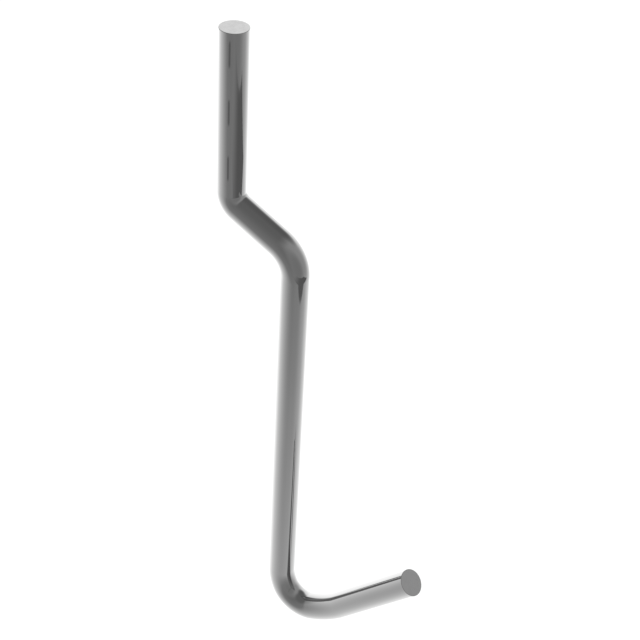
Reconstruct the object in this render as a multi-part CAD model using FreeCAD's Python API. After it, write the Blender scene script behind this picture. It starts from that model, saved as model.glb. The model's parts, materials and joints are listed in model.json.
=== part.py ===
import FreeCAD, Part
import math
import os

from FreeCAD import Vector

# Driving dimensions, in millimetres and degrees

# The wire, and the small break on the edge of its two cut ends
WIRE_DIAMETER = 4.76
END_EDGE_BREAK = 0.15

# The board that the hook hangs on, and the play between its faces and the wire
BOARD_THICKNESS = 6.35
BOARD_PLAY = 1.40

# Straight runs of the wire, from one bend to the next
PEG_LENGTH = 28.0
SHANK_LENGTH = 64.35
ARM_LENGTH = 19.05

# Slopes, measured from the horizontal: the jog falls forward, the arm rises forward
JOG_FALL_ANGLE = 25.5
ARM_RISE_ANGLE = 45.0

# Bends, by the radius on the inside of the wire
PEG_BEND_INSIDE_RADIUS = 0.60
SHANK_BEND_INSIDE_RADIUS = 3.40
ARM_BEND_INSIDE_RADIUS = 2.35

# The arm's bend is tight only in its middle: it eases in from the shank and out into the arm
ARM_EASE_IN_INSIDE_RADIUS = 7.10
ARM_EASE_IN_TURN = 23.5
ARM_EASE_OUT_INSIDE_RADIUS = 16.60
ARM_EASE_OUT_TURN = 21.5

# Sizes that follow from these
WIRE_RADIUS = WIRE_DIAMETER / 2
PEG_TO_SHANK = BOARD_THICKNESS + BOARD_PLAY + WIRE_DIAMETER
JOG_TURN = 90 - JOG_FALL_ANGLE
ARM_BEND_TURN = 90 + ARM_RISE_ANGLE - ARM_EASE_IN_TURN - ARM_EASE_OUT_TURN
PEG_BEND_RADIUS = PEG_BEND_INSIDE_RADIUS + WIRE_RADIUS
SHANK_BEND_RADIUS = SHANK_BEND_INSIDE_RADIUS + WIRE_RADIUS
ARM_BEND_RADIUS = ARM_BEND_INSIDE_RADIUS + WIRE_RADIUS
ARM_EASE_IN_RADIUS = ARM_EASE_IN_INSIDE_RADIUS + WIRE_RADIUS
ARM_EASE_OUT_RADIUS = ARM_EASE_OUT_INSIDE_RADIUS + WIRE_RADIUS


def jog_length():
    """Straight run of the jog that sets the shank PEG_TO_SHANK in front of the peg."""
    turn = math.radians(JOG_TURN)
    forward_in_bends = (PEG_BEND_RADIUS + SHANK_BEND_RADIUS) * (1 - math.cos(turn))
    return (PEG_TO_SHANK - forward_in_bends) / math.sin(turn)


class Bender:
    """Follows the wire's axis in the XZ plane and keeps the solid of each run and bend.

    The heading is in degrees from +X, turning up towards +Z.
    """

    def __init__(self, start, heading):
        self.point = start
        self.heading = heading
        self.pieces = []

    def direction(self):
        angle = math.radians(self.heading)
        return Vector(math.cos(angle), 0, math.sin(angle))

    def run(self, length):
        """A straight length of wire."""
        along = self.direction()
        self.pieces.append(Part.makeCylinder(WIRE_RADIUS, length, self.point, along))
        self.point = self.point + along * length

    def bend(self, turn, radius):
        """The wire's round section swung about the bend's centre, up where turn is positive."""
        along = self.direction()
        side = math.copysign(1, turn)
        to_centre = Vector(-along.z, 0, along.x) * side
        centre = self.point + to_centre * radius
        axis = Vector(0, -side, 0)
        ring = Part.makeCircle(WIRE_RADIUS, self.point, along)
        section = Part.Face(Part.Wire([ring]))
        self.pieces.append(section.revolve(centre, axis, abs(turn)))
        swing = FreeCAD.Rotation(axis, abs(turn))
        self.point = centre + swing.multVec(self.point - centre)
        self.heading += turn


def break_end_edges(wire, end_points):
    """Chamfers the rim of the cut face at each of the wire's ends."""
    rims = [
        edge
        for edge in wire.Edges
        if any((edge.CenterOfMass - point).Length < END_EDGE_BREAK for point in end_points)
    ]
    return wire.makeChamfer(END_EDGE_BREAK, rims)


def make_hook():
    """One wire, bent from the peg's cut end down to the arm's cut end.

    The origin is on the peg's axis where its straight run meets the first bend.
    +X points forward from the board, +Z up along the peg.
    """
    peg_end = Vector(0, 0, PEG_LENGTH)
    wire = Bender(peg_end, -90)
    wire.run(PEG_LENGTH)
    wire.bend(JOG_TURN, PEG_BEND_RADIUS)
    wire.run(jog_length())
    wire.bend(-JOG_TURN, SHANK_BEND_RADIUS)
    wire.run(SHANK_LENGTH)
    wire.bend(ARM_EASE_IN_TURN, ARM_EASE_IN_RADIUS)
    wire.bend(ARM_BEND_TURN, ARM_BEND_RADIUS)
    wire.bend(ARM_EASE_OUT_TURN, ARM_EASE_OUT_RADIUS)
    wire.run(ARM_LENGTH)
    joined = wire.pieces[0].fuse(wire.pieces[1:])
    return break_end_edges(joined, [peg_end, wire.point])


os.makedirs("parts", exist_ok=True)
hook = make_hook()
hook.exportStep("parts/hook.step")
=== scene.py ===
# %% [markdown]
# # A pegboard hook of bright plated wire
# This lesson dresses one small steel hook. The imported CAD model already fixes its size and
# its place, so it is loaded first and used as a frame: nothing below moves or resizes it.
# Every length is in metres. The hook's peg stands on the origin, +Z points up along the peg
# and +X points forward, away from the board.

# %% Load the frame
import json
import math

import bpy
import numpy as np
from mathutils import Matrix, Vector


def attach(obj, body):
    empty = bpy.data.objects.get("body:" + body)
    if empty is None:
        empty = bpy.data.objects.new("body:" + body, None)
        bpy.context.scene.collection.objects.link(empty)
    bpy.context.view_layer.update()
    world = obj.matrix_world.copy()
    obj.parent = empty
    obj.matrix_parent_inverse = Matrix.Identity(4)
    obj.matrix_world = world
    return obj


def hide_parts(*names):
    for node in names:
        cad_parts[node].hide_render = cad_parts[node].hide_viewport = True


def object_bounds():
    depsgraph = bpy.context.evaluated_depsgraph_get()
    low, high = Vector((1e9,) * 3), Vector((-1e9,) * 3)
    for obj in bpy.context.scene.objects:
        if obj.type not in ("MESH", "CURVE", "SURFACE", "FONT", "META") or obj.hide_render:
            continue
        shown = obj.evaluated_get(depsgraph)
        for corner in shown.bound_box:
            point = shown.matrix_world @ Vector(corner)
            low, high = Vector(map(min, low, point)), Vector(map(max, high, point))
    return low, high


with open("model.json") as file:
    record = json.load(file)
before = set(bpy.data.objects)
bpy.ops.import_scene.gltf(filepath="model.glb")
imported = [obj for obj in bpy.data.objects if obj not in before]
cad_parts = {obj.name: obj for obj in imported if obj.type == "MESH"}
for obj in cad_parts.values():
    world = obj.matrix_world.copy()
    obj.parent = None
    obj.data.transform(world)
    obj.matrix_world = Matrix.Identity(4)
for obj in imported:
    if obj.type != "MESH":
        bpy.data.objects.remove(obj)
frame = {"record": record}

cad_low, cad_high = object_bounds()
MILLIMETRE = 0.001
print("CAD box in mm:", [round(side / MILLIMETRE, 2) for side in cad_high - cad_low])

# %% [markdown]
# ## The route of the wire
# On the real hook one straight length of drawn wire is pushed round three bending pins, so
# its middle line is made of straight runs and round bends that flow into each other. The
# lowest bend is tight in its middle and eases out to both sides, as springy wire does. It
# could be drawn as a curve object with a bevel. Here it is worked out instead, because then
# the runs and the bends are exact and each point of the wire knows how far along it lies.
# A run and a bend share one formula: a run is simply a bend that turns by nothing.

# %% Name the wire's sizes
mounts = {mount["name"]: mount for mount in frame["record"]["mounts"]}
WIRE_RADIUS = mounts["peg"]["dims"]["r_mm"] * MILLIMETRE
END_EDGE_BREAK = 0.07 * MILLIMETRE

PEG_LENGTH = 28.0 * MILLIMETRE
PEG_TO_SHANK = 12.51 * MILLIMETRE
SHANK_LENGTH = 64.35 * MILLIMETRE
ARM_LENGTH = 19.05 * MILLIMETRE

# Slopes from the horizontal, in degrees, and the angles that the bends turn through
JOG_FALLS = 25.5
ARM_RISES = 45.0
JOG_TURN = math.radians(90 - JOG_FALLS)
ARM_EASE_IN_TURN = math.radians(23.5)
ARM_EASE_OUT_TURN = math.radians(21.5)
ARM_BEND_TURN = math.radians(90 + ARM_RISES) - ARM_EASE_IN_TURN - ARM_EASE_OUT_TURN

# Each bend's radius at the middle line: the wire's own radius and that on the inside of the bend
PEG_BEND_RADIUS = WIRE_RADIUS + 0.60 * MILLIMETRE
SHANK_BEND_RADIUS = WIRE_RADIUS + 3.40 * MILLIMETRE
ARM_BEND_RADIUS = WIRE_RADIUS + 2.35 * MILLIMETRE
ARM_EASE_IN_RADIUS = WIRE_RADIUS + 7.10 * MILLIMETRE
ARM_EASE_OUT_RADIUS = WIRE_RADIUS + 16.60 * MILLIMETRE

forward_in_bends = (PEG_BEND_RADIUS + SHANK_BEND_RADIUS) * (1 - math.cos(JOG_TURN))
JOG_LENGTH = (PEG_TO_SHANK - forward_in_bends) / math.sin(JOG_TURN)
print("Wire of", round(2 * WIRE_RADIUS / MILLIMETRE, 2), "mm")
print("Jog of", round(JOG_LENGTH / MILLIMETRE, 2), "mm")

# %% Follow the wire's middle line
RUN_STEP = 1.0 * MILLIMETRE
BEND_STEP = math.radians(1.5)
STRAIGHT_DOWN = math.radians(-90)


def constant_bend(start, heading, length, turn, distance):
    """Points of a stretch of wire that bends evenly, all at once.

    After a distance d the wire has turned by turn * d / length. The straight chord back to the
    start then lies along the heading half way through that turn, and it is as long as
    d * sin(a) / a, where a is half the angle turned. With no turn it is d itself.
    """
    half_turn = 0.5 * turn * distance / length
    chord = distance * np.sinc(half_turn / np.pi)
    middle_heading = heading + half_turn
    across = np.stack([np.cos(middle_heading), np.sin(middle_heading)], axis=1)
    return start + chord[:, None] * across, heading + 2 * half_turn


def follow_wire(start, heading, stretches):
    """Joins the stretches end to end: middle points (x, z), headings and distances along the wire."""
    points, headings, distances = [], [], []
    travelled = 0.0
    for length, turn in stretches:
        steps = math.ceil(abs(turn) / BEND_STEP) if turn else math.ceil(length / RUN_STEP)
        local = np.linspace(0, length, steps + 1)
        stretch_points, stretch_headings = constant_bend(start, heading, length, turn, local)
        points.append(stretch_points[:-1])
        headings.append(stretch_headings[:-1])
        distances.append(travelled + local[:-1])
        start, heading = stretch_points[-1], stretch_headings[-1]
        travelled += length
    points.append(start[None])
    headings.append(np.array([heading]))
    distances.append(np.array([travelled]))
    return np.concatenate(points), np.concatenate(headings), np.concatenate(distances)


STRETCHES = [
    (PEG_LENGTH, 0.0),
    (PEG_BEND_RADIUS * JOG_TURN, JOG_TURN),
    (JOG_LENGTH, 0.0),
    (SHANK_BEND_RADIUS * JOG_TURN, -JOG_TURN),
    (SHANK_LENGTH, 0.0),
    (ARM_EASE_IN_RADIUS * ARM_EASE_IN_TURN, ARM_EASE_IN_TURN),
    (ARM_BEND_RADIUS * ARM_BEND_TURN, ARM_BEND_TURN),
    (ARM_EASE_OUT_RADIUS * ARM_EASE_OUT_TURN, ARM_EASE_OUT_TURN),
    (ARM_LENGTH, 0.0),
]
middle, heading, along = follow_wire(np.array([0.0, PEG_LENGTH]), STRAIGHT_DOWN, STRETCHES)
wire_length = along[-1]
print("Wire length in mm:", round(wire_length / MILLIMETRE, 1), "in", len(along), "stations")

# %% [markdown]
# ## The skin of the wire
# The wire is drawn round, cropped square at both ends, and the sharp rims are tumbled off
# before plating. A tube with a cap on it would leave a hard rim that no plated part has.
# So the whole skin is one sheet: rings that start as a dot in the middle of one cut face,
# grow out to its rim, roll over the small rounded edge, travel along the wire and close
# again on the other face. Each ring also knows which way its skin faces, so a mirror-bright
# finish reflects a true cylinder and not flat facets.

# %% Roll the rings over the cut ends
AROUND = 128
FACE_RINGS = 10
EDGE_RINGS = 8


def cut_end_rings():
    """Rings from the middle of a cut face out over its rounded edge.

    Returns each ring's radius, how far it lies behind the cut plane, and its skin's tilt. The
    face grows evenly to its edge. On the edge, a quarter circle of the break's size, the
    radius adds the cosine of the tilt and the depth takes off its sine.
    """
    face_radius = np.linspace(0, 1, FACE_RINGS + 1)[1:] * (WIRE_RADIUS - END_EDGE_BREAK)
    edge_tilt = np.linspace(0.5 * np.pi, 0, EDGE_RINGS + 1)[1:-1]
    edge_radius = WIRE_RADIUS - END_EDGE_BREAK * (1 - np.cos(edge_tilt))
    edge_depth = END_EDGE_BREAK * (1 - np.sin(edge_tilt))
    radius = np.concatenate([face_radius, edge_radius])
    depth = np.concatenate([np.zeros(FACE_RINGS), edge_depth])
    tilt = np.concatenate([np.full(FACE_RINGS, 0.5 * np.pi), edge_tilt])
    return radius, depth, tilt


def at_distance(distance):
    """Middle points and headings read off the route at these distances along the wire."""
    x = np.interp(distance, along, middle[:, 0])
    z = np.interp(distance, along, middle[:, 1])
    return np.stack([x, z], axis=1), np.interp(distance, along, heading)


end_radius, end_depth, end_tilt = cut_end_rings()
body_along = along.copy()
body_along[0] += END_EDGE_BREAK
body_along[-1] -= END_EDGE_BREAK

ring_along = np.concatenate([end_depth, body_along, wire_length - end_depth[::-1]])
ring_radius = np.concatenate([end_radius, np.full(len(along), WIRE_RADIUS), end_radius[::-1]])
ring_tilt = np.concatenate([-end_tilt, np.zeros(len(along)), end_tilt[::-1]])
ring_middle, ring_heading = at_distance(ring_along)
print("Rings:", len(ring_along), "of", AROUND, "points")

# %% Sweep the rings into a skin
angle = np.linspace(0, 2 * np.pi, AROUND, endpoint=False)


def sweep_rings():
    """Places each ring square to the wire, as whole arrays of points and outward directions.

    A point lies its ring's radius away from the middle line, by the cosine of its angle towards
    +Y and by its sine towards the left of travel. Its skin faces the same way, leaning along
    the wire by the ring's tilt.
    """
    forward = np.stack([np.cos(ring_heading), np.zeros_like(ring_heading), np.sin(ring_heading)], axis=1)
    left = np.stack([-forward[:, 2], np.zeros_like(ring_heading), forward[:, 0]], axis=1)
    sideways = np.array([0.0, 1.0, 0.0])
    spoke = np.cos(angle)[None, :, None] * sideways + np.sin(angle)[None, :, None] * left[:, None, :]
    centre = np.stack([ring_middle[:, 0], np.zeros_like(ring_heading), ring_middle[:, 1]], axis=1)
    points = centre[:, None, :] + ring_radius[:, None, None] * spoke
    lean = ring_tilt[:, None, None]
    facing = np.cos(lean) * spoke + np.sin(lean) * forward[:, None, :]
    return points.reshape(-1, 3), facing.reshape(-1, 3), centre, forward


skin_points, skin_facing, ring_centres, ring_forward = sweep_rings()
print("Skin points:", len(skin_points))

# %% Stitch the rings into faces
RINGS = len(ring_along)
FIRST_POLE = RINGS * AROUND
LAST_POLE = FIRST_POLE + 1


def stitch_rings():
    """Corner numbers of the four-sided faces between rings and of the fans at the two face centres."""
    ring = np.arange(RINGS - 1)[:, None] * AROUND
    next_ring = ring + AROUND
    here = np.arange(AROUND)[None, :]
    following = np.roll(here, -1, axis=1)
    quads = np.stack([ring + here, ring + following, next_ring + following, next_ring + here], axis=2)
    first_fan = np.stack([np.full(AROUND, FIRST_POLE), following[0], here[0]], axis=1)
    last_ring = (RINGS - 1) * AROUND
    last_fan = np.stack([np.full(AROUND, LAST_POLE), last_ring + here[0], last_ring + following[0]], axis=1)
    return quads.reshape(-1, 4), first_fan, last_fan


quads, first_fan, last_fan = stitch_rings()
vertices = np.concatenate([skin_points, ring_centres[:1], ring_centres[-1:]])
facing = np.concatenate([skin_facing, -ring_forward[:1], ring_forward[-1:]])

wire_mesh = bpy.data.meshes.new("bent_wire")
wire_mesh.from_pydata(vertices.tolist(), [], quads.tolist() + first_fan.tolist() + last_fan.tolist())
wire_mesh.shade_smooth()
wire_mesh.normals_split_custom_set_from_vertices(facing.tolist())
bent_wire = bpy.data.objects.new("bent_wire", wire_mesh)
bpy.context.scene.collection.objects.link(bent_wire)
print("Faces:", len(wire_mesh.polygons))

# %% [markdown]
# ## Coordinates that travel with the wire
# The marks on drawn wire run along it and follow it round every bend. Object coordinates
# would cut straight through the bends, and a flat map would show a seam. So each point also
# keeps its place on the wire as it was before bending, a straight rod, and how much the
# bend stretched it. The finish reads both.

# %% Store the straight rod and the stretch
STRAIGHT_WIRE = "straight_wire"
BEND_STRETCH = "bend_stretch"
EASE = 1.2 * MILLIMETRE


def straight_rod():
    """Each point's place on the unbent wire: across it by cosine and sine, and along it."""
    x = ring_radius[:, None] * np.cos(angle)[None, :]
    y = ring_radius[:, None] * np.sin(angle)[None, :]
    z = np.broadcast_to(ring_along[:, None], x.shape)
    rod = np.stack([x, y, z], axis=2).reshape(-1, 3)
    poles = np.array([[0.0, 0.0, 0.0], [0.0, 0.0, wire_length]])
    return np.concatenate([rod, poles])


def stretch_of_bends():
    """Stretch of the skin: the bend's curvature times the distance out from the middle line.

    The curvature is the change of heading over a short length to either side, so it eases in
    and out of each bend. The left of travel is the inside where the wire turns left.
    """
    ahead = np.interp(ring_along + EASE, along, heading)
    behind = np.interp(ring_along - EASE, along, heading)
    curvature = (ahead - behind) / (2 * EASE)
    stretch = -curvature[:, None] * ring_radius[:, None] * np.sin(angle)[None, :]
    return np.concatenate([stretch.reshape(-1), [0.0, 0.0]])


rod_places = straight_rod()
stretch = stretch_of_bends()
place_layer = wire_mesh.attributes.new(STRAIGHT_WIRE, "FLOAT_VECTOR", "POINT")
place_layer.data.foreach_set("vector", rod_places.astype(np.float32).ravel())
stretch_layer = wire_mesh.attributes.new(BEND_STRETCH, "FLOAT", "POINT")
stretch_layer.data.foreach_set("value", stretch.astype(np.float32))
print("Stretch of the skin from", round(stretch.min(), 2), "to", round(stretch.max(), 2))

# %% [markdown]
# ## Small helpers for nodes
# The marks on the metal and the painted reflection on the light tent further down are both built from soft
# fades, and both ask how far a place lies along some direction. Blender has a node for each,
# which takes several lines to set up. Wrapped in a function, it takes one line where it is
# used. Every value may be a plain number or the socket of another node.

# %% Define the helpers
def feed(tree, socket, value):
    """Gives a socket its value: a link where the value is another socket, or else the plain value."""
    if isinstance(value, bpy.types.NodeSocket):
        tree.links.new(value, socket)
    else:
        socket.default_value = value


def fade(tree, value, start, end, low=0.0, high=1.0):
    """Goes smoothly from low to high while value goes from start to end."""
    node = tree.nodes.new("ShaderNodeMapRange")
    node.interpolation_type = "SMOOTHSTEP"
    given = {"Value": value, "From Min": start, "From Max": end, "To Min": low, "To Max": high}
    for name, part in given.items():
        feed(tree, node.inputs[name], part)
    return node.outputs["Result"]


def towards(tree, place, direction):
    """How far a place lies along a direction: the sum of the products of their coordinates."""
    node = tree.nodes.new("ShaderNodeVectorMath")
    node.operation = "DOT_PRODUCT"
    feed(tree, node.inputs[0], place)
    feed(tree, node.inputs[1], direction)
    return node.outputs["Value"]


def arithmetic(tree, operation, *values):
    """One step of arithmetic on the values."""
    node = tree.nodes.new("ShaderNodeMath")
    node.operation = operation
    for socket, value in zip(node.inputs, values):
        feed(tree, socket, value)
    return node.outputs["Value"]


def stored(tree, layer):
    """The outputs of a node that reads a layer stored on the mesh's points."""
    node = tree.nodes.new("ShaderNodeAttribute")
    node.attribute_name = layer
    return node.outputs


HELPERS = (feed, fade, towards, arithmetic, stored)
print("Helpers ready:", [helper.__name__ for helper in HELPERS])

# %% [markdown]
# ## A cloud in the plating
# Bright plating is almost a mirror, but never evenly so: the bath leaves soft patches that
# are a little duller. Both the wire's side and its cut faces have it, so it is one node
# group with named sockets, placed in each finish with that finish's own values. The group
# only puts out values that change over the surface. The shader stays in the material.

# %% Build the plating cloud group
CLOUD_VALUES = ("Patches per Metre", "Clear Roughness", "Dull Roughness", "Clear Grey", "Dull Grey")
CLOUD_RESULTS = ("Roughness", "Grey")
CLOUD_DETAIL = 3.0
CLEAR_BELOW = 0.35
DULL_ABOVE = 0.65


def plating_cloud_group():
    """Noise over the place: roughness and grey are clear below one level and dull above another."""
    group = bpy.data.node_groups.new("plating_cloud", "ShaderNodeTree")
    group.interface.new_socket("Place", in_out="INPUT", socket_type="NodeSocketVector")
    for name in CLOUD_VALUES:
        group.interface.new_socket(name, in_out="INPUT", socket_type="NodeSocketFloat")
    for name in CLOUD_RESULTS:
        group.interface.new_socket(name, in_out="OUTPUT", socket_type="NodeSocketFloat")
    given = group.nodes.new("NodeGroupInput")
    result = group.nodes.new("NodeGroupOutput")
    patches = group.nodes.new("ShaderNodeTexNoise")
    feed(group, patches.inputs["Vector"], given.outputs["Place"])
    feed(group, patches.inputs["Scale"], given.outputs["Patches per Metre"])
    feed(group, patches.inputs["Detail"], CLOUD_DETAIL)
    for name in CLOUD_RESULTS:
        clear = given.outputs["Clear " + name]
        dull = given.outputs["Dull " + name]
        clouded = fade(group, patches.outputs["Fac"], CLEAR_BELOW, DULL_ABOVE, clear, dull)
        feed(group, result.inputs[name], clouded)
    return group


def place_cloud(tree, place, values):
    """The outputs of the cloud group in a finish, with the place it reads and the finish's own values."""
    cloud = tree.nodes.new("ShaderNodeGroup")
    cloud.node_tree = plating_cloud
    feed(tree, cloud.inputs["Place"], place)
    for name in CLOUD_VALUES:
        feed(tree, cloud.inputs[name], values[name])
    return cloud.outputs


plating_cloud = plating_cloud_group()
print("Group", plating_cloud.name, "has", len(plating_cloud.interface.items_tree), "sockets")

# %% [markdown]
# ## A painted dark line on the peg
# A thin broken dark line runs along the peg. It is a painted dark reflection, put into the
# plating's colour, and the plating is a little duller there too. It needs no mesh: a mask on
# the straight rod darkens and dulls the plating there. The mask is a product of fades: near
# the line, on its side of the rod, within a dash, and on the peg.

# %% Mask the painted dark line
# Where the painted dark reflection line lies on the peg, and how it is dashed
DARK_LINE_ANGLE = math.radians(161)
DARK_LINE_HALF_WIDTH = 0.25 * MILLIMETRE
DARK_LINE_CORE = 0.2 * DARK_LINE_HALF_WIDTH
DARK_LINE_SIDE_OF_ROD = 0.8 * WIRE_RADIUS
DARK_LINE_FIRST_DASH = 3.4 * MILLIMETRE
DARK_LINE_DASH_SPACING = 9.7 * MILLIMETRE
# Heights on the wave along the wire at which a dash begins and at which it is full
DARK_LINE_DASH_BEGINS = -0.2
DARK_LINE_DASH_FULL = 0.6
DARK_LINE_FULL_UNTIL = 0.93 * PEG_LENGTH


def painted_dark_line(tree):
    """Mask of the painted dark reflection, a dashed line along the peg: 1 on the line and 0 off it.

    The distance from the line is measured square to its direction on the rod. The dashes are
    the crests of a cosine that runs along the wire.
    """
    place = stored(tree, STRAIGHT_WIRE)["Vector"]
    to_line = towards(tree, place, (math.cos(DARK_LINE_ANGLE), math.sin(DARK_LINE_ANGLE), 0.0))
    past_line = towards(tree, place, (-math.sin(DARK_LINE_ANGLE), math.cos(DARK_LINE_ANGLE), 0.0))
    off_line = arithmetic(tree, "ABSOLUTE", past_line)
    along_wire = towards(tree, place, (0.0, 0.0, 1.0))
    per_metre = 2 * math.pi / DARK_LINE_DASH_SPACING
    wave_angle = arithmetic(tree, "MULTIPLY_ADD", along_wire, per_metre, -per_metre * DARK_LINE_FIRST_DASH)
    wave = arithmetic(tree, "COSINE", wave_angle)
    mask = fade(tree, off_line, DARK_LINE_HALF_WIDTH, DARK_LINE_CORE)
    mask = fade(tree, to_line, 0.0, DARK_LINE_SIDE_OF_ROD, 0.0, mask)
    mask = fade(tree, wave, DARK_LINE_DASH_BEGINS, DARK_LINE_DASH_FULL, 0.0, mask)
    return fade(tree, along_wire, PEG_LENGTH, DARK_LINE_FULL_UNTIL, 0.0, mask)


# The dashes of the painted dark reflection line lie this far apart along the peg
print("Rub marks every", round(DARK_LINE_DASH_SPACING / MILLIMETRE, 1), "mm along the peg")

# %% [markdown]
# ## The finish of the wire's side
# Wire is pulled through a die, which leaves lines far finer than a hair along its whole
# length, and plating fills them almost level. They could be modelled, but they are a few
# ten-thousandths of a millimetre deep, so a bump does it: noise on the straight rod, drawn
# out along the wire. Where a bend stretches the skin the plating is a touch duller.

# %% Start a metal
def new_metal(name):
    """A material with a plain metal shader: the material, its nodes and the shader's inputs."""
    material = bpy.data.materials.new(name)
    material.use_nodes = True
    shader = material.node_tree.nodes["Principled BSDF"]
    shader.inputs["Metallic"].default_value = 1.0
    return material, material.node_tree, shader.inputs


def drawn_place(tree, squeeze):
    """The place on the straight rod, squeezed along the wire so that a pattern draws out there."""
    node = tree.nodes.new("ShaderNodeVectorMath")
    node.operation = "MULTIPLY"
    feed(tree, node.inputs[0], stored(tree, STRAIGHT_WIRE)["Vector"])
    feed(tree, node.inputs[1], (1.0, 1.0, squeeze))
    return node.outputs["Vector"]


def raised(tree, pattern, depth):
    """The way that the skin faces where a pattern raises it by up to a depth."""
    bump = tree.nodes.new("ShaderNodeBump")
    feed(tree, bump.inputs["Distance"], depth)
    feed(tree, bump.inputs["Height"], pattern)
    return bump.outputs["Normal"]


METAL_HELPERS = (new_metal, drawn_place, raised)
print("Helpers for metal:", [helper.__name__ for helper in METAL_HELPERS])

# %% Make the bright plating
SIDE_CLOUD = {
    "Patches per Metre": 350.0,
    "Clear Roughness": 0.03,
    "Dull Roughness": 0.06,
    "Clear Grey": 0.66,
    "Dull Grey": 0.645,
}
CLOUD_SQUEEZE = 0.15
# Grey and roughness of the painted dark reflection line on the peg
PAINTED_DARK_LINE_GREY = 0.38
DARK_LINE_ROUGHNESS = 0.12
STRETCH_DULLS = 0.03
DIE_LINES_PER_METRE = 9000.0
DIE_LINE_DETAIL = 2.0
DIE_LINE_SQUEEZE = 0.003
DIE_LINE_DEPTH = 0.00025 * MILLIMETRE


def bright_plating():
    """Mirror-bright plating on the drawn side of the wire."""
    material, tree, shader = new_metal("bright_plating")
    cloud = place_cloud(tree, drawn_place(tree, CLOUD_SQUEEZE), SIDE_CLOUD)
    painted_line_mask = painted_dark_line(tree)
    # Painted dark reflection: the base colour goes dark along the dashed line on the peg
    grey = fade(tree, painted_line_mask, 0.0, 1.0, cloud["Grey"], PAINTED_DARK_LINE_GREY)
    feed(tree, shader["Base Color"], grey)

    stretched = stored(tree, BEND_STRETCH)["Fac"]
    dulled = arithmetic(tree, "MULTIPLY_ADD", stretched, STRETCH_DULLS, cloud["Roughness"])
    roughness = fade(tree, painted_line_mask, 0.0, 1.0, dulled, DARK_LINE_ROUGHNESS)
    feed(tree, shader["Roughness"], roughness)

    die_lines = tree.nodes.new("ShaderNodeTexNoise")
    feed(tree, die_lines.inputs["Vector"], drawn_place(tree, DIE_LINE_SQUEEZE))
    feed(tree, die_lines.inputs["Scale"], DIE_LINES_PER_METRE)
    feed(tree, die_lines.inputs["Detail"], DIE_LINE_DETAIL)
    feed(tree, shader["Normal"], raised(tree, die_lines.outputs["Fac"], DIE_LINE_DEPTH))
    return material


wire_mesh.materials.append(bright_plating())
print("Finish on the side:", wire_mesh.materials[0].name)

# %% [markdown]
# ## The finish of the cut faces
# A shear crops the wire, so each end face keeps faint parallel scores from the blade under
# the plating. The faces could be a separate object, but on the real hook they are the same
# skin, so only their material differs: the faces near the two ends take a second slot.

# %% Make the plated cut faces
CUT_FACE_CLOUD = {
    "Patches per Metre": 900.0,
    "Clear Roughness": 0.08,
    "Dull Roughness": 0.16,
    "Clear Grey": 0.70,
    "Dull Grey": 0.68,
}
SCORE_SCALE = 700.0
SCORE_WANDER = 3.0
SCORE_DETAIL = 3.0
SCORE_DEPTH = 0.0008 * MILLIMETRE


def plated_cut_face():
    """Plating over the scores of the shear."""
    material, tree, shader = new_metal("plated_cut_face")
    place = stored(tree, STRAIGHT_WIRE)["Vector"]
    cloud = place_cloud(tree, place, CUT_FACE_CLOUD)
    feed(tree, shader["Base Color"], cloud["Grey"])
    feed(tree, shader["Roughness"], cloud["Roughness"])

    scores = tree.nodes.new("ShaderNodeTexWave")
    scores.bands_direction = "X"
    feed(tree, scores.inputs["Vector"], place)
    feed(tree, scores.inputs["Scale"], SCORE_SCALE)
    feed(tree, scores.inputs["Distortion"], SCORE_WANDER)
    feed(tree, scores.inputs["Detail"], SCORE_DETAIL)
    feed(tree, shader["Normal"], raised(tree, scores.outputs["Fac"], SCORE_DEPTH))
    return material


wire_mesh.materials.append(plated_cut_face())
print("Finish on the cut ends:", wire_mesh.materials[1].name)

# %% Give the cut faces their slot
CUT_FACE_SLOT = 1
quad_ring = np.repeat(np.arange(RINGS - 1), AROUND)
on_cut_face = (quad_ring < FACE_RINGS - 1) | (quad_ring >= RINGS - FACE_RINGS)
face_slot = np.concatenate([on_cut_face * CUT_FACE_SLOT, np.full(2 * AROUND, CUT_FACE_SLOT)])
wire_mesh.polygons.foreach_set("material_index", face_slot.astype(np.int32))
print("Faces on the cut ends:", int((face_slot == CUT_FACE_SLOT).sum()))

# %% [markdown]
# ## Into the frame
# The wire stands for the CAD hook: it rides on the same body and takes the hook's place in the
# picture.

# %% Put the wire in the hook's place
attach(bent_wire, "root")
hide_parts("hook")
wire_mesh.update()

# %% [markdown]
# ## The camera
# The photograph looks down on the hook from its front and right with a long lens, and is
# tipped a little to one side. The camera stands on a sphere round a point in the hook's
# plane: an azimuth, an elevation, a roll and a distance are easier to read than a matrix.

# %% Stand the camera
AIM = Vector((17.55, 0.0, -17.87)) * MILLIMETRE
CAMERA_AZIMUTH = math.radians(30.61)
CAMERA_ELEVATION = math.radians(35.90)
CAMERA_ROLL = math.radians(3.32)
CAMERA_DISTANCE = 247.0 * MILLIMETRE
LENS_IN_IMAGE_WIDTHS = 2.41
NEAREST_SEEN = 0.01
FURTHEST_SEEN = 20.0


def direction_of(azimuth, elevation):
    """Unit vector from the hook towards a place: azimuth from -Y round to +X, elevation above level."""
    level = math.cos(elevation)
    return Vector((math.sin(azimuth) * level, -math.cos(azimuth) * level, math.sin(elevation)))


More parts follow.
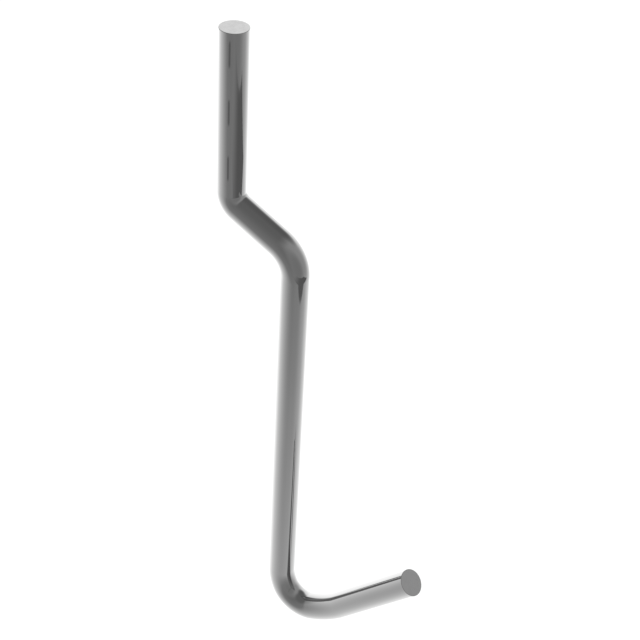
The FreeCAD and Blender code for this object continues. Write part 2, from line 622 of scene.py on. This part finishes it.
def stand_camera():
    """A camera that looks back along its own direction at AIM, turned about that line by the roll."""
    lens = bpy.data.cameras.new("photo_camera")
    lens.lens = LENS_IN_IMAGE_WIDTHS * lens.sensor_width
    lens.clip_start = NEAREST_SEEN
    lens.clip_end = FURTHEST_SEEN
    camera = bpy.data.objects.new("photo_camera", lens)
    bpy.context.scene.collection.objects.link(camera)
    back = direction_of(CAMERA_AZIMUTH, CAMERA_ELEVATION)
    level_right = Vector((0, 0, 1)).cross(back).normalized()
    level_up = back.cross(level_right)
    right = math.cos(CAMERA_ROLL) * level_right + math.sin(CAMERA_ROLL) * level_up
    up = back.cross(right)
    matrix = Matrix((right, up, back)).transposed().to_4x4()
    matrix.translation = AIM + CAMERA_DISTANCE * back
    camera.matrix_world = matrix
    bpy.context.scene.camera = camera
    return camera


camera = stand_camera()
print("Camera at", [round(value, 3) for value in camera.location])
print("Lens of", round(camera.data.lens, 1), "mm")

# %% [markdown]
# ## A light tent for the metal
# Polished metal has hardly a colour of its own: what is seen on it is the room. Bright metal
# is often photographed inside a small light tent. Here the tent is a painted reflection
# instead: a ball that glows by itself, grey on the camera's side and glowing white behind and
# under the piece, which makes the middle of a wire grey and lets its edges melt into the white.
# A painted world could do that too, but it is endlessly far away, and then the low end of the
# hook mirrors just what the high end does. The tent is near, so it is a real ball round the
# hook, and only mirrors see it. Patches of other greys, lighter and darker, are painted on it.
# The two smallest are painted dark spots: arm and shank mirror each other as thin dark lines,
# and the spots paint those lines a little wider.

# %% Paint the reflection on the tent
# Painted reflection: the tent glows grey towards this side and white away from it
GREY_SIDE = direction_of(math.radians(23), math.radians(29.5))
# The cosine of the angle away from the grey side, and the painted reflection's grey there
PAINTED_REFLECTION_GREYS = [
    (1.00, 0.183),
    (0.45, 0.247),
    (0.10, 0.505),
    (-0.20, 0.723),
    (-0.50, 0.995),
    (-1.00, 1.00),
]
# Patches of painted reflection, lighter and darker: azimuth and elevation, how far out they are full and
# where they end, all in degrees, and their grey
PAINTED_REFLECTION_PATCHES = {
    "bright sheet": (-142.5, -32.5, 21, 56, 1.335),
    "side wall": (95, 12.5, 7, 87, 0.336),
    "roof": (-70, 66.5, 31, 62, 0.151),
    "far corner": (173.5, 56.5, 1, 40.5, 0.125),
    # The two spots are painted dark reflections that widen the dark lines arm and shank mirror on each
    # other
    "left painted dark spot": (-93.5, -9.5, 9, 11.6, 0.08),
    "low painted dark spot": (96.8, -53.2, 9.2, 11.7, 0.08),
    "low wall": (62, -0.5, 1, 50, 0.224),
}


def painted_reflection_tent():
    """Painted reflection that glows by direction: a ramp by the cosine to the grey side, then the patches
    on it.
    """
    material = bpy.data.materials.new("painted_reflection_tent")
    material.use_nodes = True
    material.cycles.emission_sampling = "NONE"
    tree = material.node_tree
    tree.nodes.remove(tree.nodes["Principled BSDF"])
    unit = tree.nodes.new("ShaderNodeVectorMath")
    unit.operation = "NORMALIZE"
    tree.links.new(tree.nodes.new("ShaderNodeTexCoord").outputs["Object"], unit.inputs[0])
    place = unit.outputs["Vector"]

    ramp_node = tree.nodes.new("ShaderNodeValToRGB")
    ramp = ramp_node.color_ramp
    while len(ramp.elements) < len(PAINTED_REFLECTION_GREYS):
        ramp.elements.new(0.5)
    for element, (cosine, grey) in zip(ramp.elements, sorted(PAINTED_REFLECTION_GREYS)):
        element.position = 0.5 + 0.5 * cosine
        element.color = (grey, grey, grey, 1.0)
    zero_to_one = tree.nodes.new("ShaderNodeMapRange")
    zero_to_one.inputs["From Min"].default_value = -1.0
    tree.links.new(towards(tree, place, GREY_SIDE), zero_to_one.inputs["Value"])
    tree.links.new(zero_to_one.outputs["Result"], ramp_node.inputs["Fac"])

    glow = ramp_node.outputs["Color"]
    for azimuth, elevation, full, ends, grey in PAINTED_REFLECTION_PATCHES.values():
        middle_of_patch = direction_of(math.radians(azimuth), math.radians(elevation))
        nearness = towards(tree, place, middle_of_patch)
        glow = fade(tree, nearness, math.cos(math.radians(ends)), math.cos(math.radians(full)), glow, grey)
    painted_reflection = tree.nodes.new("ShaderNodeEmission")
    tree.links.new(glow, painted_reflection.inputs["Color"])
    tree.links.new(painted_reflection.outputs["Emission"], tree.nodes["Material Output"].inputs["Surface"])
    return material


# The tent's glow is a painted reflection that only mirrors see
painted_reflection = painted_reflection_tent()
print("Tent cloth with", len(PAINTED_REFLECTION_GREYS), "greys and", len(PAINTED_REFLECTION_PATCHES), "patches")

# %% Pitch the tent
TENT_RADIUS = 0.584
TENT_ROUND = 48
TENT_HIGH = 24


def only_for_mirrors(obj):
    """A stage piece that neither the camera nor matt surfaces see, and that casts no shadow."""
    obj.visible_camera = False
    obj.visible_diffuse = False
    obj.visible_shadow = False


def pitch_tent():
    """A ball round the hook: the cosine of the latitude sets a ring's radius, its sine the height."""
    turn = np.linspace(0, 2 * np.pi, TENT_ROUND, endpoint=False)
    latitude = np.linspace(-0.5 * np.pi, 0.5 * np.pi, TENT_HIGH + 2)[1:-1]
    x = np.cos(latitude)[:, None] * np.cos(turn)[None, :]
    y = np.cos(latitude)[:, None] * np.sin(turn)[None, :]
    z = np.broadcast_to(np.sin(latitude)[:, None], x.shape)
    points = TENT_RADIUS * np.stack([x, y, z], axis=2).reshape(-1, 3)
    ring = np.arange(TENT_HIGH - 1)[:, None] * TENT_ROUND
    here = np.arange(TENT_ROUND)[None, :]
    following = np.roll(here, -1, axis=1)
    above = ring + TENT_ROUND
    walls = np.stack([ring + here, ring + following, above + following, above + here], axis=2)
    ground = here[0, ::-1].tolist()
    top = ((TENT_HIGH - 1) * TENT_ROUND + here[0]).tolist()
    mesh = bpy.data.meshes.new("light_tent")
    mesh.from_pydata(points.tolist(), [], walls.reshape(-1, 4).tolist() + [ground, top])
    mesh.materials.append(painted_reflection)
    tent = bpy.data.objects.new("light_tent", mesh)
    tent.location = AIM
    bpy.context.scene.collection.objects.link(tent)
    only_for_mirrors(tent)
    return tent


tent = pitch_tent()
print("Tent of", len(tent.data.polygons), "faces,", round(2 * TENT_RADIUS, 2), "m across")

# %% [markdown]
# ## A dark card in front of the hook, painted into the reflection
# A photographer lays a dark card near bright metal to draw a dark line on it, which shows
# how round the metal is. Here the card is a painted dark reflection instead: a grey sheet that
# glows dimly by itself and that only mirrors see, and it paints the dark band on the peg and the
# dark point under the second bend. It lies flat some way in front of the hook. Four
# hard sides would be drawn on the metal like ink, so each side thins out over a width of
# its own: three are almost crisp, and the left one fades over more than half of the card.

# %% Paint the dark reflection card
# Grey of the painted dark reflection, which the sheet glows with by itself
DARK_REFLECTION_GREY = 0.12
# Sides of the card: the direction each is measured in, where the card begins and where it is full, in mm
CARD_SIDES = {
    "near": ((1.0, 0.0, 0.0), 94.7, 96.5),
    "far": ((1.0, 0.0, 0.0), 178.9, 175.6),
    "left": ((0.0, 1.0, 0.0), -131.0, -0.5),
    "right": ((0.46, 1.0, 0.0), 145.5, 144.0),
}


def painted_dark_reflection_sheet():
    """Painted dark reflection: a dark sheet whose thickness is the product of four fades, one in from each
    of its sides.
    """
    material = bpy.data.materials.new("painted_dark_reflection")
    material.use_nodes = True
    tree = material.node_tree
    tree.nodes.remove(tree.nodes["Principled BSDF"])
    place = tree.nodes.new("ShaderNodeTexCoord").outputs["Object"]
    thickness = 1.0
    for direction, begins, full in CARD_SIDES.values():
        reach = towards(tree, place, direction)
        thickness = fade(tree, reach, begins * MILLIMETRE, full * MILLIMETRE, 0.0, thickness)
    sheet = tree.nodes.new("ShaderNodeEmission")
    sheet.inputs["Color"].default_value = (DARK_REFLECTION_GREY, DARK_REFLECTION_GREY, DARK_REFLECTION_GREY, 1.0)
    mix = tree.nodes.new("ShaderNodeMixShader")
    tree.links.new(thickness, mix.inputs["Fac"])
    tree.links.new(tree.nodes.new("ShaderNodeBsdfTransparent").outputs["BSDF"], mix.inputs[1])
    tree.links.new(sheet.outputs["Emission"], mix.inputs[2])
    tree.links.new(mix.outputs["Shader"], tree.nodes["Material Output"].inputs["Surface"])
    return material


card_sheet = painted_dark_reflection_sheet()
print("Card of grey", DARK_REFLECTION_GREY, "with", len(CARD_SIDES), "sides")

# %% Lay the dark card
CARD_HEIGHT = -72.3 * MILLIMETRE
CARD_TURN = math.radians(-10.5)


def lay_dark_card():
    """A flat sheet: one parameter runs away from the hook, the other from the left to the slanted right."""
    (slant, _, _), right_side, _ = CARD_SIDES["right"]
    left_side = CARD_SIDES["left"][1]
    away = np.array([CARD_SIDES["near"][1], CARD_SIDES["far"][1]])[:, None]
    share = np.array([0.0, 1.0])[None, :]
    across = left_side + share * (right_side - slant * away - left_side)
    away, across = np.broadcast_arrays(away, across)
    corners = np.stack([away, across, np.zeros_like(across)], axis=2).reshape(-1, 3) * MILLIMETRE
    mesh = bpy.data.meshes.new("painted_dark_reflection")
    mesh.from_pydata(corners.tolist(), [], [(0, 2, 3, 1)])
    mesh.materials.append(card_sheet)
    card = bpy.data.objects.new("painted_dark_reflection", mesh)
    card.location.z = CARD_HEIGHT
    card.rotation_euler.z = CARD_TURN
    bpy.context.scene.collection.objects.link(card)
    only_for_mirrors(card)
    return card


card = lay_dark_card()
print("Card with", len(card.data.vertices), "corners lies at", round(CARD_HEIGHT / MILLIMETRE, 1), "mm")

# %% [markdown]
# ## Floor and lamp
# The hook hangs in the air as it would on its board, so the floor lies some way under it and
# takes only a faint, wide shadow. The floor is a plain white sheet. Mirrors look past it at
# the tent, so that it doesn't hide the lower half of the painted reflection.

# %% Lay the floor and hang the lamp
FLOOR_DROP = 60.0 * MILLIMETRE
FLOOR_HALF_SIZE = 4.0
FLOOR_WHITE = 1.0
LAMP_HEIGHT = 0.9
LAMP_SIZE = 0.7
LAMP_POWER = 1.2


def lay_floor():
    """A flat sheet under the hook: two parameters run across it and its height stays the same."""
    spread = np.linspace(-FLOOR_HALF_SIZE, FLOOR_HALF_SIZE, 2)
    x, y = np.meshgrid(spread, spread, indexing="ij")
    z = np.full_like(x, cad_low.z - FLOOR_DROP)
    corners = np.stack([x, y, z], axis=2).reshape(-1, 3)
    mesh = bpy.data.meshes.new("pale_floor")
    mesh.from_pydata(corners.tolist(), [], [(0, 2, 3, 1)])
    floor = bpy.data.objects.new("pale_floor", mesh)
    bpy.context.scene.collection.objects.link(floor)
    material = bpy.data.materials.new("pale_floor")
    material.use_nodes = True
    shader = material.node_tree.nodes["Principled BSDF"]
    shader.inputs["Base Color"].default_value = (FLOOR_WHITE, FLOOR_WHITE, FLOOR_WHITE, 1.0)
    shader.inputs["Roughness"].default_value = 1.0
    shader.inputs["Specular IOR Level"].default_value = 0.0
    mesh.materials.append(material)
    floor.visible_glossy = False
    return floor


def hang_lamp():
    """A wide square lamp straight above the hook, which mirrors don't show."""
    light = bpy.data.lights.new("soft_lamp", "AREA")
    light.size = LAMP_SIZE
    light.energy = LAMP_POWER
    lamp = bpy.data.objects.new("soft_lamp", light)
    bpy.context.scene.collection.objects.link(lamp)
    lamp.location = (AIM.x, AIM.y, LAMP_HEIGHT)
    lamp.visible_glossy = False
    return lamp


def white_world():
    """White all round: what the camera sees past the floor, and the soft light on matt surfaces."""
    world = bpy.data.worlds.new("white_world")
    world.use_nodes = True
    world.node_tree.nodes["Background"].inputs["Color"].default_value = (1.0, 1.0, 1.0, 1.0)
    bpy.context.scene.world = world


white_world()
floor = lay_floor()
lamp = hang_lamp()
print("Floor at", round(floor.data.vertices[0].co.z / MILLIMETRE, 1), "mm, lamp of", lamp.data.energy, "W")

# %% [markdown]
# ## Size and view
# The dressed hook has to fill the same box as the CAD model, whose size is printed where the
# frame is loaded. Last, the picture takes the Standard view transform.

# %% Set the view transform
bpy.context.scene.view_settings.view_transform = "Standard"
